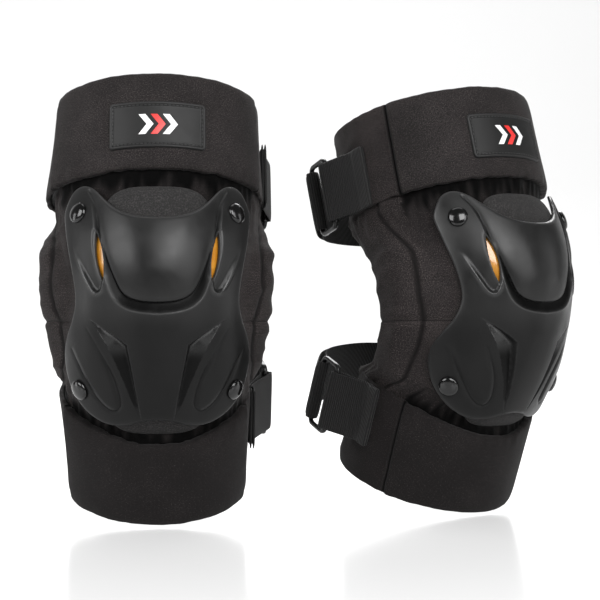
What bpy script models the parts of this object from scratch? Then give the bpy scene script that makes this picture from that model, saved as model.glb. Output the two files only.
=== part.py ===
"""A pair of motorcycle knee guards, built the way the real pair is made.

Each guard is a padded thigh cuff and a padded shin cuff, joined by a fabric knee sleeve that carries a foam
knee pad and a riveted hard shell. Each cuff closes behind the leg with an elastic strap that runs through a
plastic ring and folds back on itself.

Metres, +Z up. The origin is the centre of the left knee, and -Y is the front of the left guard. The right
guard is the mirror image of the left one, turned about +Z and set beside it.
"""

import math

import bmesh
import bpy
from mathutils import Matrix, Vector

MM = 0.001
GAP = 0.4 * MM  # between faces that touch
WIDE_GAP = 0.9 * MM  # where one of the two faces is curved

# Where the right guard stands, seen from the left one
RIGHT_GUARD_AT = (253 * MM, 68 * MM, 0)
RIGHT_GUARD_TURN = math.radians(35)

# The resting bend of the knee: each cuff leans back from the upright
THIGH_LEAN = math.radians(16)
SHIN_LEAN = math.radians(20)

# Thigh cuff, in a frame whose Z runs up the thigh
THIGH_HALF_WIDTH, THIGH_HALF_DEPTH = 84 * MM, 86 * MM
THIGH_HEM, THIGH_TOP = 83 * MM, 160 * MM
THIGH_STRAP_AT = 108 * MM

# Shin cuff, in a frame whose Z runs up the shin
SHIN_HALF_WIDTH, SHIN_HALF_DEPTH = 75 * MM, 78 * MM
SHIN_HEM, SHIN_HEM_DIP, SHIN_BOTTOM = -70 * MM, 16 * MM, -153 * MM
SHIN_STRAP_AT = -97 * MM

# Both cuffs: layers, and how far they reach round the leg
CUFF_REACH = math.radians(128)
FOAM_REACH = math.radians(66)
TAPER = math.radians(10)
CUFF_THICKNESS, PANEL_THICKNESS, PANEL_STEP = 10 * MM, 5.2 * MM, 3 * MM
COVER_WALL, LINING_WALL, RIM_CHAMFER = 1.6 * MM, 1.2 * MM, 2.5 * MM
CUFF_STEPS = 22

# Hard shell, measured on the flattened shell: u round the knee, z up it
SHELL_RADIUS, SHELL_FLARE = 74.5 * MM, 0.075
SHELL_THICKNESS = 3 * MM
CROWN_Y, CROWN_Z = -93 * MM, 18 * MM
CROWN_BEND_UP, CROWN_BEND_DOWN = 5.2, 3.4
SHELL_HALF_OUTLINE = [
    (26.5, 68.5), (45.3, 84.1), (59.0, 88.5), (75.6, 81.1), (87.6, 69.0), (79.3, 41.1), (74.0, 10.0),
    (87.2, -17.6), (95.3, -36.7), (87.2, -59.4), (62.0, -80.4), (33.2, -88.0), (9.8, -83.1),
]  # mm, from the notch between the ears, down the side, to the bottom edge
SHELL_TOP_NOTCH, SHELL_BOTTOM_NOTCH = 64 * MM, -82.3 * MM
SLOT_CENTRE, SLOT_LENGTH, SLOT_WIDTH = (44.7 * MM, 36.3 * MM), 36 * MM, 6 * MM
SLOT_LEAN = math.radians(-7)
INSERT_MARGIN, INSERT_THICKNESS = 3 * MM, 1 * MM

# Rivets through the shell and the sleeve
RIVET_AT = {"upper": (66.7 * MM, 69.3 * MM), "lower": (67.3 * MM, -64 * MM)}
HEAD_RADIUS, HEAD_HEIGHT, SHANK_RADIUS, HOLE_RADIUS = 7.8 * MM, 3 * MM, 2.2 * MM, 3.3 * MM
WASHER_RADIUS, WASHER_THICKNESS, WASHER_DROP = 5 * MM, 1.2 * MM, 1.7 * MM
ROUND_SIDES = 10

# Knee pad, behind the shell
PAD_HALF_WIDTH, PAD_HALF_HEIGHT, PAD_MID, PAD_POWER = 52 * MM, 89 * MM, -3 * MM, 2.8
PAD_FACE, PAD_THICKNESS = -5.2 * MM, 6 * MM
PAD_POINTS = 20

# Knee sleeve
SLEEVE_THICKNESS = 2.4 * MM
SLEEVE_UNDER_PAD, SLEEVE_UNDER_SHELL = -12.8 * MM, -3.8 * MM
SLEEVE_HALF_WIDTH, SLEEVE_WIDEST_AT, SLEEVE_NARROWING = 90 * MM, 35 * MM, 1.6
SLEEVE_REACH = math.radians(108)
SLEEVE_SEAM = -13 * MM
SLEEVE_COLUMNS = [0, 0.15, 0.27, 0.34, 0.4, 0.46, 0.53, 0.62, 0.7, 0.79, 0.9, 1]  # shares of the reach
SLEEVE_ROWS = 8

# Badge on the thigh cuff
BADGE_HALF_ARC, BADGE_HEIGHT, BADGE_THICKNESS, BADGE_AT = math.radians(25), 37 * MM, 2 * MM, 117 * MM

# Straps, webs and rings
WEB_WIDTH, WEB_THICKNESS = 50 * MM, 2 * MM
RING_WIRE, RING_HEIGHT = 1.8 * MM, 58 * MM
STRAP_BEND, WEB_BEND = 5 * MM, 4.3 * MM
TAB_WIDTH, TAB_LIFT, TAB_POINTS = 46 * MM, 3.4 * MM, 3
THIGH_NEAR_BAR, THIGH_FAR_BAR = Vector((87.5, 40.0)) * MM, Vector((81.5, 65.5)) * MM
THIGH_STRAP_REAR = [(60, 90), (35, 101), (0, 105), (-35, 98), (-57, 78)]
SHIN_NEAR_BAR, SHIN_FAR_BAR = Vector((87.5, 36.0)) * MM, Vector((82.5, 61.7)) * MM
SHIN_STRAP_REAR = [(60, 86), (34, 97), (0, 101), (-33, 94), (-52, 74)]

COLOURS = {
    "nylon": ((0.025, 0.024, 0.024), 0.85),
    "foam": ((0.06, 0.06, 0.062), 0.95),
    "lining": ((0.035, 0.035, 0.037), 0.9),
    "shell": ((0.03, 0.03, 0.032), 0.38),
    "rivet": ((0.008, 0.008, 0.008), 0.12),
    "amber": ((0.75, 0.33, 0.02), 0.25),
    "webbing": ((0.018, 0.018, 0.018), 0.8),
    "ring": ((0.012, 0.012, 0.012), 0.35),
    "badge": ((0.035, 0.036, 0.04), 0.55),
    "steel": ((0.45, 0.45, 0.45), 0.35),
}


# ---------------------------------------------------------------- general tools

def clear_scene():
    for obj in list(bpy.data.objects):
        bpy.data.objects.remove(obj)


def collection(name, hidden=False):
    made = bpy.data.collections.new(name)
    made.hide_render = hidden
    bpy.context.scene.collection.children.link(made)
    return made


def material(name):
    found = bpy.data.materials.get(name)
    if found:
        return found
    colour, roughness = COLOURS[name]
    found = bpy.data.materials.new(name)
    found.use_nodes = True
    shader = found.node_tree.nodes["Principled BSDF"]
    shader.inputs["Base Color"].default_value = (*colour, 1)
    shader.inputs["Roughness"].default_value = roughness
    shader.inputs["Metallic"].default_value = 1.0 if name == "steel" else 0.0
    return found


def empty(name, parent=None, at=(0, 0, 0), turn=0.0, axis="X"):
    made = bpy.data.objects.new(name, None)
    guards.objects.link(made)
    made.parent = parent
    made.matrix_local = Matrix.Translation(at) @ Matrix.Rotation(turn, 4, axis)
    return made


def piece(name, mesh, look, parent, at=(0, 0, 0)):
    """A part in its parent's frame. Its mesh is given in that frame, and its origin moves to the point at."""
    mesh.transform(Matrix.Translation(-Vector(at)))
    obj = bpy.data.objects.new(name, mesh)
    guards.objects.link(obj)
    obj.parent = parent
    obj.location = at
    mesh.materials.clear()
    mesh.materials.append(material(look))
    return obj


def finished(bm, name):
    """The bmesh as a mesh whose faces point out, smooth except at sharp edges."""
    bmesh.ops.recalc_face_normals(bm, faces=bm.faces)
    mesh = bpy.data.meshes.new(name)
    bm.to_mesh(mesh)
    bm.free()
    mesh.shade_smooth()
    mesh.set_sharp_from_angle(angle=math.radians(40))
    return mesh


def smoothstep(value, low, high):
    t = min(max((value - low) / (high - low), 0.0), 1.0)
    return t * t * (3 - 2 * t)


def loft(name, rings):
    """A closed solid through rings of points, each with as many points as the last, capped at both ends."""
    bm = bmesh.new()
    loops = [[bm.verts.new(point) for point in ring] for ring in rings]
    for first, second in zip(loops, loops[1:]):
        count = len(first)
        for i in range(count):
            j = (i + 1) % count
            bm.faces.new((first[i], first[j], second[j], second[i]))
    bm.faces.new(loops[0])
    bm.faces.new(loops[-1])
    return finished(bm, name)


def curve_mesh(name, splines, extrude, cyclic=True, resolution=2):
    """The mesh of a 2D curve in XY, through the given points with automatic handles, extruded along Z."""
    data = bpy.data.curves.new(name, "CURVE")
    data.dimensions = "2D"
    data.resolution_u = resolution
    data.extrude = extrude
    data.fill_mode = "BOTH" if cyclic else "NONE"
    for points in splines:
        spline = data.splines.new("BEZIER")
        spline.bezier_points.add(len(points) - 1)
        spline.use_cyclic_u = cyclic
        for knot, point in zip(spline.bezier_points, points):
            knot.co = (point[0], point[1], 0)
            knot.handle_left_type = knot.handle_right_type = "AUTO"
    holder = bpy.data.objects.new(name, data)
    helpers.objects.link(holder)
    graph = bpy.context.evaluated_depsgraph_get()
    mesh = bpy.data.meshes.new_from_object(holder.evaluated_get(graph))
    bpy.data.objects.remove(holder)
    bm = bmesh.new()
    bm.from_mesh(mesh)
    bmesh.ops.remove_doubles(bm, verts=bm.verts, dist=0.001 * MM)
    return bm


# ---------------------------------------------------------------- the shell's surface

def shell_radius(z):
    return SHELL_RADIUS + SHELL_FLARE * max(z, 0.0)


def crown(z):
    """The Y of the shell's outer face on its centre line."""
    bend = CROWN_BEND_UP if z > CROWN_Z else CROWN_BEND_DOWN
    return CROWN_Y + bend * (z - CROWN_Z) ** 2


def shell_point(u, z):
    radius = shell_radius(z)
    return Vector((radius * math.sin(u / radius), crown(z) + radius - radius * math.cos(u / radius), z))


def shell_normal(u, z):
    across = shell_point(u + MM, z) - shell_point(u - MM, z)
    up = shell_point(u, z + MM) - shell_point(u, z - MM)
    return across.cross(up).normalized()


def on_shell(u, z, lift=0.0):
    """The point at u round the knee and z up it, lift outside the shell's outer face."""
    return shell_point(u, z) + shell_normal(u, z) * lift


def plate(name, splines, low, high, spacing):
    """A flat outline with its holes, cut into cells, then wrapped round the knee between two lifts."""
    bm = curve_mesh(name, splines, (high - low) / 2)
    bmesh.ops.dissolve_limit(bm, angle_limit=math.radians(2), verts=bm.verts, edges=bm.edges)
    for axis in range(2):
        normal = Vector([float(axis == i) for i in range(3)])
        reach = max(abs(v.co[axis]) for v in bm.verts)
        cuts = int(reach / spacing)
        for i in range(-cuts, cuts + 1):
            geometry = bm.verts[:] + bm.edges[:] + bm.faces[:]
            bmesh.ops.bisect_plane(bm, geom=geometry, plane_co=normal * i * spacing, plane_no=normal)
    middle = (low + high) / 2
    for vert in bm.verts:
        vert.co = on_shell(vert.co.x, vert.co.y, vert.co.z + middle)
    return finished(bm, name)


def circle(centre, radius, count=5):
    turns = [2 * math.pi * i / count for i in range(count)]
    return [(centre[0] + radius * math.cos(a), centre[1] + radius * math.sin(a)) for a in turns]


def lens(side, margin=0.0):
    """The leaf-shaped outline of a slot, on one side of the shell, widened by margin."""
    half, wide = SLOT_LENGTH / 2 + margin, SLOT_WIDTH / 2 + margin
    points = [
        (0, half), (wide, half / 3), (wide * 0.9, -half / 3),
        (0, -half), (-wide, -half / 3), (-wide, half / 3),
    ]
    turn = Matrix.Rotation(SLOT_LEAN, 2)
    made = [turn @ Vector(p) + Vector(SLOT_CENTRE) for p in points]
    return [(side * p.x, p.y) for p in made]


def mirrored(half, top, bottom):
    """A closed outline from its right half, with one point on the centre line at top and bottom."""
    right = [(0, top), *half, (0, bottom)]
    return right + [(-x, y) for x, y in reversed(half)]


def pad_half_angle(z):
    """How far round the knee the pad reaches at height z."""
    share = min(abs(z - PAD_MID) / PAD_HALF_HEIGHT, 1.0)
    return PAD_HALF_WIDTH * (1 - share**PAD_POWER) ** (1 / PAD_POWER) / shell_radius(z)


def pad_outline():
    points = []
    for i in range(PAD_POINTS):
        turn = 2 * math.pi * i / PAD_POINTS
        across, up = math.cos(turn), math.sin(turn)
        u = PAD_HALF_WIDTH * math.copysign(abs(across) ** (2 / PAD_POWER), across)
        z = PAD_MID + PAD_HALF_HEIGHT * math.copysign(abs(up) ** (2 / PAD_POWER), up)
        points.append((u, z))
    return points


# ---------------------------------------------------------------- the hard shell and what is on it

def shell_parts(prefix, knee):
    half = [(u * MM, z * MM) for u, z in SHELL_HALF_OUTLINE]
    rivets = [(side * u, z) for u, z in RIVET_AT.values() for side in (1, -1)]
    holes = [circle(at, HOLE_RADIUS) for at in rivets] + [lens(1), lens(-1)]
    outline = mirrored(half, SHELL_TOP_NOTCH, SHELL_BOTTOM_NOTCH)
    piece(f"{prefix}_shell", plate("shell", [outline, *holes], -SHELL_THICKNESS, 0, 15 * MM), "shell", knee)
    for side, place in ((1, "outer"), (-1, "inner")):
        face = -SHELL_THICKNESS - WIDE_GAP
        mesh = plate("insert", [lens(side, INSERT_MARGIN)], face - INSERT_THICKNESS, face, 12 * MM)
        piece(f"{prefix}_{place}_amber_insert", mesh, "amber", knee)


def turned(name, profile):
    """A profile of (radius, height), outer side down, turned about Z by a Screw modifier."""
    bm = bmesh.new()
    verts = [bm.verts.new((radius, 0, height)) for radius, height in profile]
    for first, second in zip(verts, verts[1:]):
        bm.edges.new((first, second))
    if profile[0][0] > 0:
        bm.edges.new((verts[-1], verts[0]))
    mesh = bpy.data.meshes.new(name)
    bm.to_mesh(mesh)
    bm.free()
    return mesh


def add_screw(obj):
    screw = obj.modifiers.new("turn", "SCREW")
    screw.axis = "Z"
    screw.steps = screw.render_steps = ROUND_SIDES
    screw.use_merge_vertices = True
    screw.merge_threshold = 0.00002


def rivets_and_washers(prefix, knee):
    """Domed rivets through the shell and the sleeve, each with a steel washer behind the sleeve."""
    sleeve_back = SLEEVE_UNDER_SHELL - SLEEVE_THICKNESS
    end = sleeve_back - WASHER_DROP - WASHER_THICKNESS - 0.4 * MM
    dome = [(HEAD_RADIUS * math.sin(a), WIDE_GAP + HEAD_HEIGHT * math.cos(a)) for a in (0, 0.5, 1.0, 1.4)]
    head = dome + [(HEAD_RADIUS, WIDE_GAP)]
    shank = [(SHANK_RADIUS, WIDE_GAP), (SHANK_RADIUS, end), (0, end)]
    hole = SHANK_RADIUS + GAP
    top = sleeve_back - WASHER_DROP
    low = top - WASHER_THICKNESS
    ring = [(hole, low), (hole, top), (WASHER_RADIUS, top), (WASHER_RADIUS, low)]
    for level, (u, z) in RIVET_AT.items():
        for side, place in ((1, "outer"), (-1, "inner")):
            turn = shell_normal(side * u, z).to_track_quat("Z", "Y").to_matrix().to_4x4()
            seat = Matrix.Translation(shell_point(side * u, z)) @ turn
            for kind, profile, look in (("rivet", head + shank, "rivet"), ("washer", ring, "steel")):
                obj = piece(f"{prefix}_{level}_{place}_{kind}", turned(kind, profile), look, knee)
                obj.matrix_local = seat
                add_screw(obj)


def rivet_cutter(prefix, level, knee):
    """Two joined drills along the rivets of one level, for the holes in the sleeve."""
    bm = bmesh.new()
    u, z = RIVET_AT[level]
    for side in (1, -1):
        turn = shell_normal(side * u, z).to_track_quat("Z", "Y").to_matrix().to_4x4()
        bmesh.ops.create_cone(
            bm, cap_ends=True, segments=10, radius1=HOLE_RADIUS, radius2=HOLE_RADIUS, depth=24 * MM,
            matrix=Matrix.Translation(shell_point(side * u, z)) @ turn,
        )
    obj = bpy.data.objects.new(f"{prefix}_{level}_drill", finished(bm, "drill"))
    helpers.objects.link(obj)
    obj.parent = knee
    obj.hide_render = True
    obj.display_type = "WIRE"
    return obj


# ---------------------------------------------------------------- the knee pad and sleeve

def knee_pad(prefix, knee):
    mesh = plate("pad", [pad_outline()], PAD_FACE - PAD_THICKNESS, PAD_FACE, 20 * MM)
    piece(f"{prefix}_knee_pad", mesh, "foam", knee)


def sleeve_at_knee(angle, z):
    """The sleeve's outer face at height z: under the pad, then under the shell, then flared."""
    radius = shell_radius(z)
    turn = abs(angle)
    towards_middle = z - math.copysign(min(abs(z - PAD_MID), 7 * MM), z - PAD_MID)
    start = pad_half_angle(towards_middle) + math.radians(1.5)
    lift = SLEEVE_UNDER_PAD + (SLEEVE_UNDER_SHELL - SLEEVE_UNDER_PAD) * smoothstep(
        turn, start, start + math.radians(6)
    )
    flared = SLEEVE_HALF_WIDTH - SLEEVE_NARROWING * (z - SLEEVE_WIDEST_AT) ** 2
    centre = crown(z) + radius
    wing = Vector((flared * math.sin(angle), centre - flared * math.cos(angle), z))
    edge = math.radians(62 + 14 * min(abs(z - 8 * MM) / (40 * MM), 1))
    return on_shell(angle * radius, z, lift).lerp(wing, smoothstep(turn, edge, math.radians(98)))


def on_cuff(angle, z, width, depth):
    return Vector((width * math.sin(angle), -depth * math.cos(angle), z))


def sleeve_at_hem(angle, frame, hem, width, depth):
    """The sleeve's edge, in line with the middle of a cuff's thickness, just short of its hem."""
    inset = CUFF_THICKNESS / 2
    return frame @ on_cuff(angle, hem, width - inset, depth - inset)


def shin_hem(angle):
    """The shin cuff's top edge dips in front, under the shell."""
    return SHIN_HEM - SHIN_HEM_DIP * max(math.cos(angle), 0.0) ** 2


def sleeve_surface(edge, seam_z, leave):
    """An open surface from the knee seam to a cuff's edge. It leaves the shell at the share leave."""
    bm = bmesh.new()
    shares = [-share for share in reversed(SLEEVE_COLUMNS[1:])] + SLEEVE_COLUMNS
    bmesh.ops.create_grid(bm, x_segments=len(shares) - 1, y_segments=SLEEVE_ROWS, size=0.5)
    for vert in bm.verts:
        across = shares[round((vert.co.x + 0.5) * (len(shares) - 1))]
        up = vert.co.y + 0.5
        angle = across * (SLEEVE_REACH + (CUFF_REACH - SLEEVE_REACH) * up**2)
        end = edge(angle)
        z = seam_z + (end.z - seam_z) * up
        share = smoothstep(up, leave, 1.0)
        vert.co = sleeve_at_knee(angle, z).lerp(Vector((end.x, end.y, z)), share)
    return bm


def knee_sleeve(prefix, knee, thigh_frame, shin_frame):
    """The two halves of the sleeve, each a thin fabric sheet."""
    def thigh_edge(angle):
        return sleeve_at_hem(angle, thigh_frame, THIGH_HEM - 1 * MM, THIGH_HALF_WIDTH, THIGH_HALF_DEPTH)

    def shin_edge(angle):
        return sleeve_at_hem(angle, shin_frame, shin_hem(angle) + 2.3 * MM, SHIN_HALF_WIDTH, SHIN_HALF_DEPTH)

    halves = (("upper", thigh_edge, GAP / 2, 0.5), ("lower", shin_edge, -GAP / 2, 0.74))
    for level, edge, seam, leave in halves:
        bm = sleeve_surface(edge, SLEEVE_SEAM + seam, leave)
        if level == "lower":
            bmesh.ops.reverse_faces(bm, faces=bm.faces)
        mesh = bpy.data.meshes.new("sleeve")
        bm.to_mesh(mesh)
        bm.free()
        mesh.shade_smooth()
        obj = piece(f"{prefix}_{level}_knee_sleeve", mesh, "nylon", knee)
        solid = obj.modifiers.new("thickness", "SOLIDIFY")
        solid.thickness = SLEEVE_THICKNESS
        solid.offset = -1.0
        drill = obj.modifiers.new("rivet_holes", "BOOLEAN")
        drill.operation = "DIFFERENCE"
        drill.object = rivet_cutter(prefix, level, knee)


# ---------------------------------------------------------------- the cuffs

def padding(angle):
    """1 where the cuff is padded, 0 on its thin side panels."""
    return 1 - smoothstep(abs(angle), FOAM_REACH, FOAM_REACH + TAPER)


def cuff_layers(angle):
    """Offsets of the cover's outer face and of the cuff's inner face from the cuff's own ellipse."""
    padded = padding(angle)
    outer = -PANEL_STEP * (1 - padded)
    inner = outer - PANEL_THICKNESS - (CUFF_THICKNESS - PANEL_THICKNESS) * padded
    return outer, inner


def cover_section(angle, hem, top):
    """The cover wraps the cuff's outer face and folds over both edges."""
    outer, inner = cuff_layers(angle)
    wall, cut = COVER_WALL, RIM_CHAMFER
    return [
        (outer, hem + cut), (outer, top - cut), (outer - cut, top), (inner, top), (inner, top - wall),
        (outer - wall, top - wall), (outer - wall, hem + wall),
        (inner, hem + wall), (inner, hem), (outer - cut, hem),
    ]


def foam_section(angle, hem, top):
    outer, inner = cuff_layers(angle)
    front, back = outer - COVER_WALL - GAP, inner + LINING_WALL + GAP
    low, high = hem + COVER_WALL + GAP, top - COVER_WALL - GAP
    return [(front, low), (front, high), (back, high), (back, low)]


def lining_section(angle, hem, top):
    inner = cuff_layers(angle)[1]
    front, low, high = inner + LINING_WALL, hem + COVER_WALL + GAP, top - COVER_WALL - GAP
    return [(front, low), (front, high), (inner, high), (inner, low)]


def badge_section(angle, hem, top):
    return [(GAP, hem), (GAP, top), (GAP + BADGE_THICKNESS, top), (GAP + BADGE_THICKNESS, hem)]


def band(name, section, reach, steps, width, depth, hem, top):
    """A section swept round the cuff's ellipse from -reach to reach. hem and top take the angle."""
    rings = []
    for i in range(steps + 1):
        angle = reach * (2 * i / steps - 1)
        points = section(angle, hem(angle), top(angle))
        rings.append([on_cuff(angle, z, width + off, depth + off) for off, z in points])
    return loft(name, rings)


def cuff(prefix, name, parent, width, depth, hem, top):
    for layer, section, look in (
        ("cover", cover_section, "nylon"), ("foam", foam_section, "foam"), ("lining", lining_section, "lining")
    ):
        mesh = band(layer, section, CUFF_REACH, CUFF_STEPS, width, depth, hem, top)
        piece(f"{prefix}_{name}_{layer}", mesh, look, parent)


# ---------------------------------------------------------------- straps

def ribbon(name, points, width, middle, look, parent, at=(0, 0, 0)):
    """A flat strap on edge: a curve in the cuff's XY plane, given the strap's width and thickness."""
    bm = curve_mesh(name, [points], width / 2, cyclic=False)
    bmesh.ops.translate(bm, verts=bm.verts, vec=(0, 0, middle))
    mesh = bpy.data.meshes.new(name)
    bm.to_mesh(mesh)
    bm.free()
    mesh.shade_smooth()
    obj = piece(name, mesh, look, parent, at)
    solid = obj.modifiers.new("thickness", "SOLIDIFY")
    solid.thickness = WEB_THICKNESS
    solid.offset = 0.0
    return obj


def ring(name, near, far, middle, parent):
    """A rounded rectangle of plastic rod, with its near bar on the parent's Z axis."""
    data = bpy.data.curves.new(name, "CURVE")
    data.dimensions = "3D"
    data.bevel_depth = RING_WIRE
    data.bevel_resolution = 1
    data.resolution_u = 2
    spline = data.splines.new("BEZIER")
    along = far - near
    half, corner = RING_HEIGHT / 2, 5 * MM
    share = corner / along.length
    path = [
        (0, half - corner), (share, half), (1 - share, half), (1, half - corner),
        (1, corner - half), (1 - share, -half), (share, -half), (0, corner - half),
    ]
    spline.bezier_points.add(len(path) - 1)
    spline.use_cyclic_u = True
    places = [Vector((*(along * part), height)) for part, height in path]
    for i, knot in enumerate(spline.bezier_points):
        straight = places[i] - places[i - 1] if i % 2 == 0 else places[(i + 1) % len(places)] - places[i]
        pull = straight.normalized() * 0.55 * corner
        knot.handle_left_type = knot.handle_right_type = "FREE"
        knot.co, knot.handle_left, knot.handle_right = places[i], places[i] - pull, places[i] + pull
    holder = bpy.data.objects.new(name, data)
    helpers.objects.link(holder)
    graph = bpy.context.evaluated_depsgraph_get()
    mesh = bpy.data.meshes.new_from_object(holder.evaluated_get(graph))
    bpy.data.objects.remove(holder)
    obj = piece(name, mesh, "ring", parent)
    obj.location = (0, 0, middle)
    return obj


def half_turn(centre, radius, start, turn, count=5):
    """Points round half a circle from the start direction, turning by turn in all."""
    return [centre + Matrix.Rotation(turn * i / (count - 1), 2) @ (start * radius) for i in range(count)]


def closure(prefix, name, parent, near, far, rear, middle, panel):
    """Web, ring, strap and tab of one cuff. panel gives a point on the side panel's outer face."""
    along = (far - near).normalized()
    outward = Vector((along.y, -along.x))
    lift = WEB_THICKNESS / 2 + GAP
    spread = WEB_THICKNESS + GAP
    first = [panel(math.radians(a), lift) for a in (88, 94, 99)]
    second = [panel(math.radians(a), lift + spread) for a in (99, 94, 88)]
    loop = half_turn(near, WEB_BEND, -outward, math.radians(-180))
    ribbon(f"{prefix}_{name}_web", [*first, *loop, *second], WEB_WIDTH, middle, "webbing", parent)

    pivot = empty(f"{prefix}_{name}_ring_pivot", parent, (*near, 0))
    ring(f"{prefix}_{name}_ring", near, far, middle, pivot)

    bend = half_turn(far, STRAP_BEND, outward, math.radians(-180))
    run = [Vector(p) * MM for p in rear]
    seat = [panel(math.radians(-a), lift) for a in (128, 118, 108, 100)]
    ribbon(f"{prefix}_{name}_strap", [*bend, *run, *seat], WEB_WIDTH, middle, "webbing", parent)

    start = far + outward * STRAP_BEND + along * 1.2 * MM
    heels = [start]
    for a, b in zip([bend[-1], *run], run):
        if len(heels) < TAB_POINTS:
            side = (b - a).normalized()
            heels.append(b + Vector((side.y, -side.x)) * TAB_LIFT)
    pivot = empty(f"{prefix}_{name}_tab_pivot", parent, (*start, 0))
    tab = ribbon(f"{prefix}_{name}_strap_tab", heels, TAB_WIDTH, middle, "webbing", pivot)
    tab.location = -Vector((*start, 0))


# ---------------------------------------------------------------- one guard

def guard(prefix, side, at, turn):
    root = empty(f"{prefix}_guard", at=at, turn=turn, axis="Z")
    root.scale.x = side
    knee = empty(f"{prefix}_knee", root)
    thigh = empty(f"{prefix}_thigh", root, turn=-THIGH_LEAN)
    shin = empty(f"{prefix}_shin", root, turn=SHIN_LEAN)

    shell_parts(prefix, knee)
    rivets_and_washers(prefix, knee)
    knee_pad(prefix, knee)
    knee_sleeve(prefix, knee, Matrix.Rotation(-THIGH_LEAN, 3, "X"), Matrix.Rotation(SHIN_LEAN, 3, "X"))

    cuff(prefix, "thigh", thigh, THIGH_HALF_WIDTH, THIGH_HALF_DEPTH, lambda a: THIGH_HEM, lambda a: THIGH_TOP)
    cuff(prefix, "shin", shin, SHIN_HALF_WIDTH, SHIN_HALF_DEPTH, lambda a: SHIN_BOTTOM, shin_hem)
    badge = band(
        "badge", badge_section, BADGE_HALF_ARC, 8, THIGH_HALF_WIDTH, THIGH_HALF_DEPTH,
        lambda a: BADGE_AT - BADGE_HEIGHT / 2, lambda a: BADGE_AT + BADGE_HEIGHT / 2,
    )
    piece(f"{prefix}_badge", badge, "badge", thigh)

    def thigh_panel(angle, lift):
        return on_cuff(angle, 0, THIGH_HALF_WIDTH - PANEL_STEP + lift, THIGH_HALF_DEPTH - PANEL_STEP + lift).xy

    def shin_panel(angle, lift):
        return on_cuff(angle, 0, SHIN_HALF_WIDTH - PANEL_STEP + lift, SHIN_HALF_DEPTH - PANEL_STEP + lift).xy

    closure(
        prefix, "thigh", thigh, THIGH_NEAR_BAR, THIGH_FAR_BAR, THIGH_STRAP_REAR, THIGH_STRAP_AT, thigh_panel
    )
    closure(prefix, "shin", shin, SHIN_NEAR_BAR, SHIN_FAR_BAR, SHIN_STRAP_REAR, SHIN_STRAP_AT, shin_panel)


clear_scene()
guards = collection("knee_guards")
helpers = collection("cutters", hidden=True)
guard("left", 1, (0, 0, 0), 0.0)
guard("right", -1, RIGHT_GUARD_AT, RIGHT_GUARD_TURN)
bpy.context.view_layer.update()
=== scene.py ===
"""The looks of a pair of motorcycle knee guards: padded cuffs, sleeves, hard shells, straps and rings."""
import math

import bmesh
import bpy
import numpy as np
from mathutils import Matrix, Vector, noise
from mathutils.geometry import delaunay_2d_cdt


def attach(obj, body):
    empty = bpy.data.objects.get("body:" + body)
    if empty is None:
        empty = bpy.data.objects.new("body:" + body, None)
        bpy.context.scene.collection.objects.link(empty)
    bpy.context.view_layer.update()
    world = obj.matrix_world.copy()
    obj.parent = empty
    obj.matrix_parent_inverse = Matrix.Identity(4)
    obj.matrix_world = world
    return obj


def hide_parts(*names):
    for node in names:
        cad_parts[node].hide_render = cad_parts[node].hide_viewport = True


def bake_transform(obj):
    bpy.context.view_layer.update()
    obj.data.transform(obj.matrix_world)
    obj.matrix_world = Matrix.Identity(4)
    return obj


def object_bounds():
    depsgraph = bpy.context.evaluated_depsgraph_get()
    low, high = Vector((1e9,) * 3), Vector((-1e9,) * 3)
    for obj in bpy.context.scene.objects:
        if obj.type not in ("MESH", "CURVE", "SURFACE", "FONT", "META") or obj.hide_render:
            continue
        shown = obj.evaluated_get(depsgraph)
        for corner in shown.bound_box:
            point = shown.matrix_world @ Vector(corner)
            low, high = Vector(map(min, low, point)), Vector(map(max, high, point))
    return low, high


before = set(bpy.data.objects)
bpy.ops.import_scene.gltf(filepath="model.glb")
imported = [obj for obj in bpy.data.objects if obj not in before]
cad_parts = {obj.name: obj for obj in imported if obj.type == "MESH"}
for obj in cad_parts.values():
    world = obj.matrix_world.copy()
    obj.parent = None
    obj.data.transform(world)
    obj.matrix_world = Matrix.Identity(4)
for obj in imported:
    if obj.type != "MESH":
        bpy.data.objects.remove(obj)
cad_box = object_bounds()

MM = 0.001
RIGHT_AT, RIGHT_TURN = (253 * MM, 68 * MM, 0), math.radians(35)

# Cuffs, in frames whose Z runs up the leg, as in the CAD. side says which end is at the knee.
THIGH = {
    "width": 84 * MM, "depth": 86 * MM, "hem": 83 * MM, "top": 160 * MM, "dip": 0, "side": -1,
    "flare": 8 * MM, "shade": 0, "lean": math.radians(-16),
}
SHIN = {
    "width": 75 * MM, "depth": 78 * MM, "hem": -153 * MM, "top": -70 * MM, "dip": 16 * MM, "side": 1,
    "flare": 6 * MM, "shade": 0.16, "lean": math.radians(20),
}
CUFFS = {"thigh": THIGH, "shin": SHIN}
CUFF_REACH, FOAM_REACH = math.radians(128), math.radians(67)
CUFF_THICKNESS, PANEL_THICKNESS, PANEL_STEP = 10 * MM, 5.2 * MM, 3 * MM
PANEL_SEAM = FOAM_REACH + math.radians(1.5)

# The shell's surface, as in the CAD
SHELL_RADIUS, SHELL_FLARE = 74.5 * MM, 0.075
CROWN_Y, CROWN_Z = -93 * MM, 18 * MM
CROWN_BEND_UP, CROWN_BEND_DOWN = 5.2, 3.4
SHELL_THICKNESS = 3 * MM
EDGE_ROLL = 1.6
PAD_HALF_WIDTH, PAD_HALF_HEIGHT, PAD_MID, PAD_POWER = 57 * MM, 98 * MM, -5 * MM, 3.4
RIVETS = {"upper": (66.7 * MM, 69.3 * MM), "lower": (67.3 * MM, -64 * MM)}
SIDES = ((1, "outer"), (-1, "inner"))
BADGE_HALF_WIDTH, BADGE_HALF_HEIGHT, BADGE_Z = 37 * MM, 18.5 * MM, 117 * MM


# ---------------------------------------------------------------- mesh tools

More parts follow.
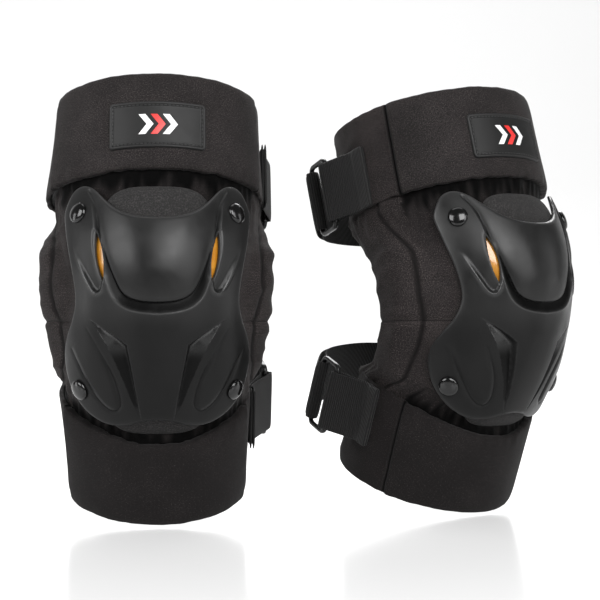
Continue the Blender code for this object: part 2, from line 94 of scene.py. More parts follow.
def smoothstep(value, low, high):
    t = np.clip((value - low) / (high - low), 0, 1)
    return t * t * (3 - 2 * t)


def bump(value, width):
    return np.exp(-((value / width) ** 2))


def wander(points, scale, seed):
    """Smooth noise from -1 to 1 at each point."""
    shift = Vector((seed * 7.3, seed * 3.1, seed * 5.7))
    return np.array([noise.noise(Vector(p) * scale + shift) for p in points])


def unit(vectors):
    return vectors / np.maximum(np.linalg.norm(vectors, axis=-1, keepdims=True), 1e-9)


def sideways(line):
    """Unit vectors to the right of a 2D line."""
    along = unit(np.gradient(line, axis=0))
    return np.column_stack([along[:, 1], -along[:, 0]])


def close_loop(loop):
    return np.vstack([loop, loop[:1]])


def spline(points, step):
    """Points about one step apart on a smooth curve through the given ones."""
    p = np.array(points, float)
    ends = np.vstack([2 * p[0] - p[1], p, 2 * p[-1] - p[-2]])
    made = []
    for i in range(1, len(ends) - 2):
        a, b, c, d = ends[i - 1:i + 3]
        count = max(2, int(np.linalg.norm(c - b) / step))
        t = np.linspace(0, 1, count, endpoint=False)[:, None]
        cubic = (2 * a - 5 * b + 4 * c - d) * t**2 + (3 * b - a - 3 * c + d) * t**3
        made.append(0.5 * (2 * b + (c - a) * t + cubic))
    return np.vstack([*made, p[-1:]])


def distance(points, line):
    """The distance from each 2D point to a polyline."""
    best = np.full(len(points), 1e9)
    for a, b in zip(line[:-1], line[1:]):
        ab = b - a
        t = np.clip(((points - a) @ ab) / max(ab @ ab, 1e-12), 0, 1)
        best = np.minimum(best, np.linalg.norm(points - a - t[:, None] * ab, axis=1))
    return best


def inside(points, loop):
    """Whether each 2D point is inside a closed polygon."""
    x, y = points[:, 0], points[:, 1]
    result = np.zeros(len(points), bool)
    for (ax, ay), (bx, by) in zip(loop, np.roll(loop, -1, axis=0)):
        if ay == by:
            continue
        crosses = (ay > y) != (by > y)
        result ^= crosses & (x < (bx - ax) * (y - ay) / (by - ay) + ax)
    return result


def grid_faces(rows, columns, wrap_rows=False, wrap_columns=False):
    faces = []
    for i in range(rows if wrap_rows else rows - 1):
        for j in range(columns if wrap_columns else columns - 1):
            k, m = (i + 1) % rows, (j + 1) % columns
            faces.append((i * columns + j, i * columns + m, k * columns + m, k * columns + j))
    return faces


def tube_faces(rows, columns):
    """Rings joined one after the other, with a cap on each end."""
    last = (rows - 1) * columns
    caps = [tuple(range(columns)), tuple(reversed(range(last, last + columns)))]
    return grid_faces(rows, columns, wrap_columns=True) + caps


def slab_faces(rows, columns):
    """A front grid, a back grid and the wall between their edges."""
    count = rows * columns
    front = grid_faces(rows, columns)
    back = [tuple(count + i for i in reversed(face)) for face in front]
    rim = list(range(columns)) + [i * columns + columns - 1 for i in range(1, rows)]
    rim += [(rows - 1) * columns + j for j in range(columns - 2, -1, -1)]
    rim += [i * columns for i in range(rows - 2, 0, -1)]
    wall = [(a, b, count + b, count + a) for a, b in zip(rim, rim[1:] + rim[:1])]
    return front + back + wall


class Guard:
    """One guard of the pair. Points given in its own frame land in the world; the right one is mirrored."""

    def __init__(self, name, side, at, turn, seed):
        self.name, self.side, self.seed = name, side, seed
        self.matrix = (
            Matrix.Translation(at) @ Matrix.Rotation(turn, 4, "Z") @ Matrix.Diagonal((side, 1, 1, 1))
        )

    def world(self, point):
        return self.matrix @ Vector(point)

    def show(self, name, mesh, look, slot, body, replaces=()):
        """Shows a mesh, whose points are in the world already, as a piece that rides on a body."""
        if self.side < 0:
            mesh.flip_normals()
        mesh.shade_smooth()
        mesh.materials.append(look)
        obj = bpy.data.objects.new(f"{self.name}_{name}_look", mesh)
        bpy.context.scene.collection.objects.link(obj)
        if body:
            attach(obj, f"{self.name}_{body}")
        if replaces:
            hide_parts(*[f"{self.name}_{node}" for node in replaces])
        return obj

    def piece(self, name, points, faces, look, slot, body, replaces=(),
              lean=0.0, weave=None, weld=0, **marks):
        """Makes a piece from points. weave is the cloth's flat coordinates; marks are point attributes."""
        mesh = bpy.data.meshes.new(f"{self.name}_{name}")
        mesh.from_pydata([tuple(p) for p in points], [], faces)
        mesh.transform(self.matrix @ Matrix.Rotation(lean, 4, "X"))
        if weave is not None:
            data = mesh.attributes.new("weave", "FLOAT_VECTOR", "POINT").data
            flat = np.column_stack([weave, np.zeros(len(weave))])
            data.foreach_set("vector", flat.astype(np.float32).ravel())
        for key, values in marks.items():
            data = mesh.attributes.new(key, "FLOAT", "POINT").data
            data.foreach_set("value", np.asarray(values, np.float32))
        obj = self.show(name, mesh, look, slot, body, replaces)
        bm = bmesh.new()
        bm.from_mesh(mesh)
        if weld:
            bmesh.ops.remove_doubles(bm, verts=bm.verts, dist=weld)
        bmesh.ops.recalc_face_normals(bm, faces=bm.faces)
        bm.to_mesh(mesh)
        bm.free()
        return obj


# ---------------------------------------------------------------- materials

class Look:
    """A Principled material and short ways to add nodes to it."""

    def __init__(self, name, colour, roughness, **sockets):
        self.material = bpy.data.materials.new(name)
        self.material.use_nodes = True
        self.tree = self.material.node_tree
        self.shader = self.tree.nodes["Principled BSDF"]
        self.shader.inputs["Base Color"].default_value = (*colour, 1)
        self.shader.inputs["Roughness"].default_value = roughness
        for key, value in sockets.items():
            self.shader.inputs[key.replace("_", " ")].default_value = value

    def add(self, kind, inputs=(), **settings):
        node = self.tree.nodes.new("ShaderNode" + kind)
        for key, value in settings.items():
            setattr(node, key, value)
        for key, value in dict(inputs).items():
            if isinstance(value, bpy.types.NodeSocket):
                self.tree.links.new(value, node.inputs[key])
            else:
                node.inputs[key].default_value = value
        return node

    def link(self, socket, name):
        self.tree.links.new(socket, self.shader.inputs[name])

    def place(self):
        return self.add("TexCoord").outputs["Object"]

    def mark(self, name, kind="Fac"):
        return self.add("Attribute", attribute_name=name).outputs[kind]

    def math(self, operation, a, b=0.0):
        return self.add("Math", {0: a, 1: b}, operation=operation).outputs[0]

    def total(self, *terms):
        """The sum of values, each times its weight."""
        parts = [self.math("MULTIPLY", value, weight) for value, weight in terms]
        result = parts[0]
        for part in parts[1:]:
            result = self.math("ADD", result, part)
        return result

    def noise(self, vector, scale, detail=3.0, roughness=0.5):
        inputs = {"Vector": vector, "Scale": scale, "Detail": detail, "Roughness": roughness}
        return self.add("TexNoise", inputs).outputs["Fac"]

    def wave(self, vector, scale, direction, distortion):
        inputs = {"Vector": vector, "Scale": scale, "Distortion": distortion}
        inputs |= {"Detail": 1.0, "Detail Scale": 2.0}
        return self.add("TexWave", inputs, bands_direction=direction).outputs["Fac"]

    def ramp(self, factor, *stops):
        node = self.add("ValToRGB", {"Fac": factor})
        elements = node.color_ramp.elements
        while len(elements) < len(stops):
            elements.new(0.5)
        for element, (at, colour) in zip(elements, stops):
            element.position = at
            element.color = (*colour, 1)
        return node.outputs["Color"]

    def levels(self, factor, low, high, start=0.0, end=1.0):
        inputs = {"Value": factor, "From Min": start, "From Max": end, "To Min": low, "To Max": high}
        return self.add("MapRange", inputs).outputs["Result"]

    def bumps(self, *layers):
        """Bump maps on top of each other, each a height, a strength and a distance."""
        normal = None
        for height, strength, reach in layers:
            inputs = {"Height": height, "Strength": strength, "Distance": reach}
            if normal:
                inputs["Normal"] = normal
            normal = self.add("Bump", inputs).outputs["Normal"]
        self.link(normal, "Normal")


WAVE_SCALE = 0.31


def grey(value, warmth=0.0):
    return (value * (1 + warmth), value * (1 - 0.4 * warmth), value * (1 - 0.55 * warmth))


def woven(name, dark, light, yarn, depth, warmth, sheen):
    """A coarse plain weave in dark yarns with lighter flecks. yarn is the pitch of the threads."""
    look = Look(name, grey(dark), 0.85, Sheen_Weight=sheen, Sheen_Roughness=0.45, Specular_IOR_Level=0.16)
    cloth = look.mark("weave", "Vector")
    pitch = WAVE_SCALE / yarn
    across, along = look.wave(cloth, pitch, "X", 0.1), look.wave(cloth, pitch, "Y", 0.1)
    threads = look.math("MULTIPLY", across, along)
    flecks = look.noise(cloth, 1.3 / yarn, 2.0, 0.6)
    patches = look.noise(cloth, 28, 3.0)
    # painted shade: where marked, the cloth's colour is darker and its reflection weaker
    shade = look.mark("shade")
    mix = look.total((flecks, 0.75), (threads, 0.12), (patches, 0.14), (shade, -0.45))
    tones = [
        (0.1, grey(dark * 0.1)), (0.42, grey(dark * 0.7, warmth)), (0.5, grey(dark, warmth)),
        (0.62, grey(light, warmth)),
    ]
    look.link(look.ramp(mix, *tones), "Base Color")
    look.link(look.levels(flecks, 0.75, 0.95, 0.3, 0.7), "Roughness")
    look.link(look.levels(shade, 0.16, 0.03), "Specular IOR Level")
    uneven = look.noise(cloth, 70, 2.0)
    look.bumps((uneven, 0.06, 1.5 * MM), (threads, 0.55, depth), (flecks, 0.2, 0.4 * depth))
    return look.material


def ribbed(name, value, pitch):
    """Elastic webbing: ribs across it and fine cords along it."""
    look = Look(name, grey(value), 0.8, Sheen_Weight=0.06, Sheen_Roughness=0.4, Specular_IOR_Level=0.3)
    cloth = look.mark("weave", "Vector")
    ribs = look.wave(cloth, WAVE_SCALE / pitch, "X", 0.3)
    cords = look.wave(cloth, WAVE_SCALE / (pitch * 0.6), "Y", 0.6)
    fuzz = look.noise(cloth, 900, 3.0, 0.7)
    mix = look.total((ribs, 0.6), (fuzz, 0.4))
    look.link(look.ramp(mix, (0.2, grey(value * 0.4)), (0.8, grey(value * 1.9, 0.03))), "Base Color")
    look.link(look.levels(fuzz, 0.65, 0.92), "Roughness")
    crossed = look.math("MULTIPLY", ribs, cords)
    look.bumps((ribs, 0.9, 0.5 * MM), (crossed, 0.6, 0.3 * MM), (fuzz, 0.3, 0.15 * MM))
    return look.material


def moulded(name, value, roughness, grain, edge_lightening=0.0, specular=0.28, **sockets):
    """Moulded plastic or rubber with a fine grain, faint scuffs and a smoother, lighter look where marked."""
    look = Look(name, grey(value), roughness, **sockets)
    place = look.place()
    fine = look.noise(place, 1900, 3.0, 0.6)
    scuffs = look.noise(place, 60, 6.0, 0.7)
    rough = look.levels(scuffs, roughness - 0.07, roughness + 0.08, 0.3, 0.7)
    gloss, painted_shade = look.mark("gloss"), look.mark("painted_shade")
    look.link(look.math("SUBTRACT", rough, look.math("MULTIPLY", gloss, 0.2)), "Roughness")
    # where marked as shaded, painted shade darkens the colour and weakens the reflection
    tone = look.total((look.mark("edge"), edge_lightening), (scuffs, 0.2), (painted_shade, -0.4))
    tones = [(0.0, grey(value * 0.2)), (0.4, grey(value)), (1.0, grey(value * 3.5))]
    look.link(look.ramp(look.math("ADD", tone, 0.3), *tones), "Base Color")
    shine = look.math("ADD", look.levels(painted_shade, specular, 0.04), look.math("MULTIPLY", gloss, 0.4))
    look.link(shine, "Specular IOR Level")
    look.bumps((look.noise(place, 45, 2.0), 0.05, 1 * MM), (fine, 0.35, grain))
    return look.material


def mottled(name, colour, roughness, scale, tones, rough, **sockets):
    """A surface whose colour and roughness drift a little. Its factor comes back for the bumps."""
    look = Look(name, colour, roughness, **sockets)
    drift = look.noise(look.place(), *scale)
    look.link(look.ramp(drift, *tones), "Base Color")
    look.link(look.levels(drift, *rough), "Roughness")
    return look, drift


def amber_look():
    tones = [(0.3, (0.4, 0.15, 0.01)), (0.75, (0.6, 0.27, 0.03))]
    look, _ = mottled("amber_insert", (0.85, 0.36, 0.01), 0.16, (120, 3.0), tones, (0.12, 0.26),
                      Coat_Weight=0.6, Coat_Roughness=0.06, IOR=1.49)
    look.bumps((look.noise(look.place(), 300, 2.0), 0.08, 0.3 * MM))
    return look.material


def pad_look():
    tones = [(0.36, grey(0.006, 0.03)), (0.5, grey(0.011, 0.04)), (0.66, grey(0.05, 0.04))]
    look, grain = mottled("knee_pad_face", grey(0.012), 0.9, (850, 4.0, 0.75), tones, (0.7, 0.98, 0.3, 0.7),
                          Sheen_Weight=0.03, Sheen_Roughness=0.5, Specular_IOR_Level=0.3)
    pits = look.add("TexVoronoi", {"Vector": look.place(), "Scale": 900.0}).outputs["Distance"]
    look.bumps((grain, 0.9, 0.6 * MM), (pits, 0.5, 0.4 * MM))
    return look.material


def steel_look():
    tones = [(0.3, grey(0.35)), (0.8, grey(0.55))]
    look, lines = mottled("washer_steel", grey(0.45), 0.35, (700, 4.0, 0.6), tones, (0.28, 0.45),
                          Metallic=1.0)
    look.bumps((lines, 0.2, 0.1 * MM))
    return look.material


def painted(name, colour, light):
    look, _ = mottled(name, colour, 0.4, (250, 3.0), [(0.3, colour), (0.8, light)], (0.32, 0.5))
    look.bumps((look.noise(look.place(), 1500, 2.0), 0.15, 0.1 * MM))
    return look.material


CUFF_CLOTH = woven("cuff_cordura", 0.009, 0.060, 1.0 * MM, 0.25 * MM, warmth=0.12, sheen=0.04)
SIDE_CLOTH = woven("side_cordura", 0.010, 0.064, 1.0 * MM, 0.22 * MM, warmth=0.14, sheen=0.04)
LINING = woven("lining_knit", 0.018, 0.045, 1.1 * MM, 0.3 * MM, warmth=0.0, sheen=0.1)
WEBBING = ribbed("elastic_webbing", 0.007, 1.7 * MM)
SHELL_PLASTIC = moulded("shell_plastic", 0.009, 0.36, 0.06 * MM, edge_lightening=0.9)
RING_PLASTIC = moulded("ring_plastic", 0.008, 0.28, 0.04 * MM, edge_lightening=0.4)
RIVET_GLOSS = moulded(
    "rivet_gloss", 0.003, 0.14, 0.01 * MM, specular=0.35, Coat_Weight=0.3, Coat_Roughness=0.05,
)
BADGE_RUBBER = moulded("badge_rubber", 0.007, 0.5, 0.08 * MM, edge_lightening=0.25)
AMBER, PAD_FACE, STEEL = amber_look(), pad_look(), steel_look()
THREAD = painted("stitch_thread", grey(0.01), grey(0.03))
MARK_LIGHT = painted("mark_light", grey(0.75), grey(0.85))
MARK_RED = painted("mark_red", (0.6, 0.02, 0.02), (0.75, 0.04, 0.03))


# ---------------------------------------------------------------- the shell's surface

def shell_radius(z):
    return SHELL_RADIUS + SHELL_FLARE * np.maximum(z, 0)


def crown(z):
    bend = np.where(z > CROWN_Z, CROWN_BEND_UP, CROWN_BEND_DOWN)
    return CROWN_Y + bend * (z - CROWN_Z) ** 2


def shell_point(u, z):
    r = shell_radius(z)
    return np.stack([r * np.sin(u / r), crown(z) + r - r * np.cos(u / r), z], axis=-1)


def shell_normal(u, z):
    across = shell_point(u + MM, z) - shell_point(u - MM, z)
    up = shell_point(u, z + MM) - shell_point(u, z - MM)
    return unit(np.cross(across, up))


def on_shell(u, z, lift=0.0):
    u, z = np.broadcast_arrays(np.asarray(u, float), np.asarray(z, float))
    lift = np.broadcast_to(np.asarray(lift, float), u.shape)
    return shell_point(u, z) + shell_normal(u, z) * lift[..., None]


def seen_from_front(u, z):
    """Millimetres across and up, as the shell looks from the front."""
    r = shell_radius(z)
    return np.column_stack([np.abs(r * np.sin(u / r)), z]) / MM


def laid_flat(p):
    """The way back: (u, z) in metres from millimetres across and up."""
    r = shell_radius(p[:, 1] * MM)
    return np.column_stack([r * np.arcsin(np.clip(p[:, 0] * MM / r, -1, 0.9999)), p[:, 1] * MM])


# Feature lines on the right half, in millimetres across and up as seen from the front
LINE_STEP = 1.1
TONGUE_EDGE = spline([
    (52, 85), (47, 75), (45, 64), (43.5, 53), (37, 32), (29.3, 13.5), (23, 6.5), (13, 3), (0, 2),
], LINE_STEP)
TONGUE_RIB = spline([
    (54, 85), (49.3, 75), (47.3, 64), (46, 53), (41, 32), (37.5, 17), (33, 6), (25.5, -1.2), (15, -4.8),
    (0, -6.4),
], LINE_STEP)
VEE_START, VEE_CORNER, VEE_TIP = (50, -10.5), (22.5, -29), (11.8, -86)
VEE_INNER = np.vstack([
    spline([VEE_START, (37, -19), VEE_CORNER], LINE_STEP),
    spline([VEE_CORNER, (17, -58), VEE_TIP], LINE_STEP),
])
VEE_OUTER = spline([
    VEE_START, (42.5, -22), (35.5, -35), (28.5, -50), (21.5, -66), (15.5, -79), VEE_TIP,
], LINE_STEP)
LOBE = spline([
    (53, -17), (46, -29), (38.5, -43), (32, -57), (28.5, -69), (28, -76), (31.5, -80), (37, -78.5),
    (44.5, -71.5), (53, -58.5), (59.5, -45), (64.5, -33),
], LINE_STEP)
SLOT_MIDDLE = spline([(46, 54.5), (44.7, 45), (43.6, 36), (42.3, 26), (40.9, 18)], 1.0)
SLOT_DISH = spline([
    (39.5, 21), (40, 14), (42, 9.8), (45.5, 9), (49, 12), (53, 19), (57, 27.5), (61, 37), (65, 47),
], LINE_STEP)
HALF_OUTLINE = [
    (0, 66), (11, 66.5), (21, 68.4), (30, 72), (38, 78), (46, 86), (52, 90), (58, 90.2), (63.5, 86.5),
    (67.5, 79.5), (70.5, 70), (70.2, 60), (68.2, 45), (65, 28), (62.3, 12), (62, 1), (64.4, -11),
    (68.4, -22.5), (70.6, -34), (70.2, -46), (67.3, -59.3), (62.4, -70.2), (54, -81), (43, -88.6),
    (33, -91.5), (22, -91.3), (11, -88.4), (0, -87.2),
]


def slot_loop():
    """The slot is leaf-shaped: its half width follows a sine along its middle line."""
    share = np.linspace(0, 1, len(SLOT_MIDDLE))
    half_width = 2.8 * np.sin(np.pi * share) ** 0.8
    side = sideways(SLOT_MIDDLE) * half_width[:, None]
    return np.vstack([SLOT_MIDDLE + side, (SLOT_MIDDLE - side)[-2:0:-1]])


def signed(points, line, within):
    """Distance to a line, negative within its region."""
    return np.where(within, -1, 1) * distance(points, line)


def relief(p):
    """The moulded relief at points across and up as seen from the front: heights in mm, then how glossy each
    point is, how much lighter it is along a crest (edge wear with a painted highlight) and how much painted
    shade it gets in grooves and on the lower half."""
    x, z = p[:, 0], p[:, 1]
    # the tongue under the notch, then a channel round it that rises to a crisp rib
    edge_x = np.interp(z, TONGUE_EDGE[::-1, 1], TONGUE_EDGE[::-1, 0])
    rib_x = np.interp(z, TONGUE_RIB[::-1, 1], TONGUE_RIB[::-1, 0])
    edge = signed(p, TONGUE_EDGE, (x < edge_x) & (z > TONGUE_EDGE[-1, 1]))
    rib = signed(p, TONGUE_RIB, (x < rib_x) & (z > TONGUE_RIB[-1, 1]))
    share = np.clip(np.maximum(edge, 0) / (np.abs(edge) + np.abs(rib) + 1e-6), 0, 1)
    tongue = 1.8 * smoothstep(-edge, 0, 26) - 1.6 * np.exp(np.minimum(edge, 0) / 3.0)
    channel = -3.9 + 5.4 * share**1.2
    around = 1.4 * np.exp(-np.maximum(rib, 0) / 6.0)
    fade = 1 - smoothstep(z, 52, 82)
    outer = np.where(rib < 0, channel, around) * fade
    height = tongue + (outer - tongue) * smoothstep(edge, -0.5, 0.6)
    # the centre panel stands proud below
    height += 1.5 * smoothstep(-z, 4, 24) * (1 - smoothstep(x, 8, 32))
    # the V grooves: a steep wall down from a sharp edge, then a glossy facet that rises outwards
    inner, far_side = distance(p, VEE_INNER), distance(p, VEE_OUTER)
    in_vee = inside(p, np.vstack([VEE_INNER, VEE_OUTER[::-1]]))
    width = np.where(in_vee, inner + far_side, 0)
    share = inner / (inner + far_side + 1e-6)
    profile = np.where(share < 0.24, share / 0.24, 1 - 0.8 * (share - 0.24) / 0.76)
    height -= np.minimum(0.42 * width, 4.4) * profile
    outer_x = np.interp(-z, -VEE_OUTER[:, 1], VEE_OUTER[:, 0])
    beyond = ~in_vee & (x > outer_x) & (z < VEE_OUTER[0, 1])
    span = np.minimum(0.42 * np.maximum(inner - far_side, 0), 4.4)
    height -= np.where(beyond, 0.2 * span * np.exp(-far_side / 6.0), 0)
    wall = in_vee * smoothstep(share, 0.2, 0.3) * smoothstep(width, 1.0, 4)
    steep = in_vee * (1 - smoothstep(share, 0.2, 0.34)) * smoothstep(width, 1.0, 4)
    # tear-shaped lobes beside them, open at the top
    lobe, in_lobe = distance(p, LOBE), inside(p, LOBE)
    closed = smoothstep(-z, 24, 50)
    height += np.where(in_lobe, 1.0 * smoothstep(lobe, 0, 3.5), 0) * closed
    height -= 0.8 * bump(lobe, 0.9) * (0.25 + 0.75 * closed)
    # the dish outside each slot, with a rounded lip along its lower side
    dish = distance(p, SLOT_DISH)
    in_dish = inside(p, np.vstack([SLOT_DISH, [(60, 58), (50, 62)], SLOT_MIDDLE]))
    low = 1 - smoothstep(z, 18, 47)
    height += np.where(in_dish, -2.0 * smoothstep(dish, 0, 2.6), 0.0) * low
    height += 0.8 * bump(dish, 1.2) * low
    lit = smoothstep(z, -42, -20)
    gloss = np.clip(wall * lit + 0.4 * bump(dish, 2) * low, 0, 1)
    # lighter along the rib, the dish's lip and the V's inner edge: partly edge wear, partly a painted
    # highlight on these crests
    lighter_edge = np.clip(0.9 * bump(rib, 0.6) * fade + 0.5 * bump(dish, 0.7) * low + 0.35 * bump(inner, 0.5), 0, 1)
    # painted shade in the channel, on the V's steep wall, along the lobe lines and at the dish's edge
    in_channel = (edge > 0) & (rib < 0)
    painted_shade = np.maximum(0.9 * in_channel * (1 - 0.7 * smoothstep(-rib, 2.5, 0)) * fade, 0.75 * steep)
    painted_shade = np.maximum(painted_shade, 0.7 * bump(lobe, 0.8) * (0.2 + 0.8 * closed))
    painted_shade = np.maximum(painted_shade, 0.6 * bump(dish - 1.6, 0.8) * in_dish * low)
    # painted shade: the lower half faces the floor and is painted darker, most of all in the V
    painted_shade = np.maximum(painted_shade, 0.5 * smoothstep(-z, -5, 25) * (1 - wall * lit))
    painted_shade = np.maximum(painted_shade, 0.85 * wall * (1 - lit))
    return height, gloss, lighter_edge, painted_shade


def build_shell():
    """The right half of the shell's flat layout, cut to its outline and slot, as points (u, z) in metres."""
    outline = spline(HALF_OUTLINE, 1.3)
    outline[:, 0] = np.maximum(outline[:, 0], 0)
    rim, hole = laid_flat(outline), laid_flat(slot_loop())
    lines = [laid_flat(line) for line in (TONGUE_EDGE, TONGUE_RIB, VEE_INNER, VEE_OUTER, LOBE, SLOT_DISH)]
    spacing = 1.35 * MM
    us, zs = np.arange(0, 100 * MM, spacing), np.arange(-95 * MM, 95 * MM, spacing)
    field = np.array([(u + (i % 2) * spacing / 2 * (u > 0), z) for i, z in enumerate(zs) for u in us])
    loop = np.vstack([rim, [[0, rim[0, 1]]]])
    field = field[inside(field, loop) & ~inside(field, hole)]
    edges_near = np.minimum(distance(field, rim), distance(field, hole))
    for line in lines:
        edges_near = np.minimum(edges_near, distance(field, line) - 0.7 * MM)
    field = field[edges_near > 0.75 * MM]
    # rows of points along each edge and feature line, at these gaps in millimetres
    rows = [(line, (0.35, -0.35, 0.8, -0.8)) for line in (rim, close_loop(hole))]
    rows += [(line, (-1.0, -0.45, 0, 0.45, 1.0)) for line in lines]
    extra = np.vstack([line + gap * MM * sideways(line) for line, gaps in rows for gap in gaps])
    extra = extra[inside(extra, loop) & ~inside(extra, hole) & (extra[:, 0] > 0.3 * MM)]
    clear = np.minimum(distance(extra, rim), distance(extra, hole)) > 0.25 * MM
    free = np.vstack([field, extra[clear]])
    seam = np.column_stack([np.zeros(120), np.linspace(rim[-1, 1], rim[0, 1], 122)[1:-1]])
    ring = np.vstack([rim, seam])
    points = np.vstack([ring, hole, free])
    count = len(ring)
    bounds = [(i, (i + 1) % count) for i in range(count)]
    bounds += [(count + i, count + (i + 1) % len(hole)) for i in range(len(hole))]
    made, _, triangles, *_ = delaunay_2d_cdt([Vector(p) for p in points / MM], bounds, [], 0, 0.05)
    made = np.array([tuple(v) for v in made]) * MM
    middle = np.array([made[list(t)].mean(0) for t in triangles])
    keep = inside(middle, ring) & ~inside(middle, hole)
    return made, [tuple(t) for t, k in zip(triangles, keep) if k], rim, hole


SHELL_FLAT = build_shell()


def shell_mesh():
    """Both halves of the shell, its outer and inner faces, joined along every edge."""
    flat, triangles, rim, hole = SHELL_FLAT
    bm = bmesh.new()
    u, z = flat[:, 0], flat[:, 1]
    height, gloss, lighter_edge, painted_shade = relief(seen_from_front(u, z))
    to_edge = np.minimum(distance(flat, rim), distance(flat, close_loop(hole))) / MM
    roll = np.clip(EDGE_ROLL - to_edge, 0, EDGE_ROLL)
    height = height * smoothstep(to_edge, 0.2, 2.5) - (EDGE_ROLL - np.sqrt(EDGE_ROLL**2 - roll**2))
    front = on_shell(u, z, height * MM)
    back_lift = np.minimum(-SHELL_THICKNESS / MM, height - 1.2)
    back = on_shell(u, z, np.maximum(back_lift, -4.6) * MM)
    lighter_edge = np.maximum(np.exp(-to_edge / EDGE_ROLL), lighter_edge)
    marks = {"gloss": gloss, "painted_shade": painted_shade, "edge": lighter_edge}
    layers = {name: bm.verts.layers.float.new(name) for name in marks}
    for side in (1, -1):
        outer = [bm.verts.new((side * p[0], p[1], p[2])) for p in front]
        inner = [bm.verts.new((side * p[0], p[1], p[2])) for p in back]
        for name, values in marks.items():
            for vert, value in zip(outer, values):
                vert[layers[name]] = value
        count = {}
        for a, b, c in triangles:
            order = (a, b, c) if side > 0 else (c, b, a)
            bm.faces.new([outer[i] for i in order])
            bm.faces.new([inner[i] for i in reversed(order)])
            for edge in ((a, b), (b, c), (c, a)):
                count[frozenset(edge)] = count.get(frozenset(edge), 0) + 1
        for edge, uses in count.items():
            i, j = edge
            if uses == 1 and not (flat[i, 0] < 1e-6 and flat[j, 0] < 1e-6):
                bm.faces.new((outer[i], outer[j], inner[j], inner[i]))
    bmesh.ops.remove_doubles(bm, verts=bm.verts, dist=0.02 * MM)
    bmesh.ops.recalc_face_normals(bm, faces=bm.faces)
    mesh = bpy.data.meshes.new("shell")
    bm.to_mesh(mesh)
    bm.free()
    return mesh


SHELL_MESH = shell_mesh()


def add_shell(guard):
    mesh = SHELL_MESH.copy()
    mesh.transform(guard.matrix)
    guard.show("shell", mesh, SHELL_PLASTIC, "shell_plastic", "knee", ["shell"])


def add_rivets(guard):
    """Domed rivets: a profile of (radius, height) swept round the shell's normal."""
    dome = [(8.0 * math.sin(a), 1.0 + 3.0 * math.cos(a)) for a in np.linspace(0, math.pi / 2, 12)]
    profile = dome + [(8.1, 0.8), (8.0, 0.35), (7.4, 0.1), (2.2, 0.1), (2.2, -9.6), (0, -9.6)]
    profile = [(r * MM, h * MM) for r, h in profile]
    steps = 40
    faces = grid_faces(steps, len(profile), wrap_rows=True)
    for level, (u, z) in RIVETS.items():
        for side, place in SIDES:
            turn = Vector(shell_normal(side * u, z)).to_track_quat("Z", "Y").to_matrix()
            centre = Vector(shell_point(side * u, z))
            points = []
            for i in range(steps):
                a = 2 * math.pi * i / steps
                points += [centre + turn @ Vector((r * math.cos(a), r * math.sin(a), h)) for r, h in profile]
            node = f"{level}_{place}_rivet"
            obj = guard.piece(node, points, faces, RIVET_GLOSS, "rivet_gloss", "knee", [node],
                              weld=0.005 * MM)
            obj.data.set_sharp_from_angle(angle=math.radians(50))


def add_inserts(guard):
    """Domed amber strips behind the slots."""
    loop = slot_loop()
    middle = loop.mean(0)
    normal = sideways(close_loop(loop))[:-1]
    outward = np.sign(((loop - middle) * normal).sum(1))[:, None]
    wide = loop + normal * outward * 2.4
    rings = [
        (1.0, -4.9), (1.0, -4.6), (0.8, -4.4), (0.6, -4.25), (0.4, -4.15), (0.2, -4.1), (0.05, -4.08),
    ]
    for side, place in SIDES:
        points = []
        for share, lift in rings:
            u, z = laid_flat(middle + (wide - middle) * share).T
            points.append(on_shell(side * u, z, lift * MM))
        node, faces = f"{place}_amber_insert", tube_faces(len(rings), len(loop))
        guard.piece(node, np.vstack(points), faces, AMBER, "amber_insert", "knee", [node])


def add_pad(guard):
    """The knee pad: a thick dome with rounded edges, rough on its face."""
    seat, bulge, belly = -8.2, 3.2, 3.4
    turns = np.linspace(0, 2 * math.pi, 120, endpoint=False)
    across, up = [np.sign(t) * np.abs(t) ** (2 / PAD_POWER) for t in (np.cos(turns), np.sin(turns))]
    rings = [(s, True) for s in (*np.linspace(0.02, 0.9, 26), 0.93, 0.96, 0.98, 0.995, 1.0)]
    rings += [(s, False) for s in (1.0, 0.99, 0.97, 0.9, 0.5, 0.02)]
    points = []
    for share, in_front in rings:
        u, z = PAD_HALF_WIDTH * across * share, PAD_MID + PAD_HALF_HEIGHT * up * share
        roll = math.sqrt(1 - (1 - np.clip((1 - share) / 0.1, 0, 1)) ** 2)
        lift = seat - belly * roll
        if in_front:
            wobble = 0.25 * wander(np.column_stack([u, z, u * 0]), 60, guard.seed)
            lift = seat + bulge * roll + 1.6 * smoothstep(z, 55 * MM, 90 * MM) + wobble
        points.append(on_shell(u, z, lift * MM))
    faces = tube_faces(len(rings), len(turns))
    obj = guard.piece("knee_pad", np.vstack(points), faces, PAD_FACE, "knee_pad", "knee", ["knee_pad"])


# ---------------------------------------------------------------- cuffs

def dense_angles(reach, step, seams):
    """Angles from -reach to reach, closer together at the seams."""
    made, a = [-reach], -reach
    while a < reach:
        near = min(abs(a - s) for s in seams)
        a += step * (0.25 + 0.75 * min(near / math.radians(5), 1))
        made.append(min(a, reach))
    return np.array(made)


def cuff_point(cuff, angle, off, z):
    """Points at an angle round a cuff, off its ellipse and at height z."""
    x, y = (cuff["width"] + off) * np.sin(angle), -(cuff["depth"] + off) * np.cos(angle)
    return np.stack(np.broadcast_arrays(x, y, z), axis=-1)


def cuff_top(cuff, angle):
    return cuff["top"] - cuff["dip"] * np.maximum(np.cos(angle), 0) ** 2


def padding(angle):
    return 1 - smoothstep(np.abs(angle), FOAM_REACH, FOAM_REACH + math.radians(5))


def flare(cuff, angle, v):
    """The cuff widens towards the knee at its sides, less under the ring and webbing."""
    side = smoothstep(np.abs(angle), math.radians(35), math.radians(75))
    side = side * (1 - smoothstep(np.abs(angle), math.radians(98), math.radians(118)))
    towards_knee = np.clip(0.5 + 0.5 * v * cuff["side"], 0, 1)
    return cuff["flare"] * side * towards_knee**1.5 * np.where(angle > 0, 0.4, 1.0)


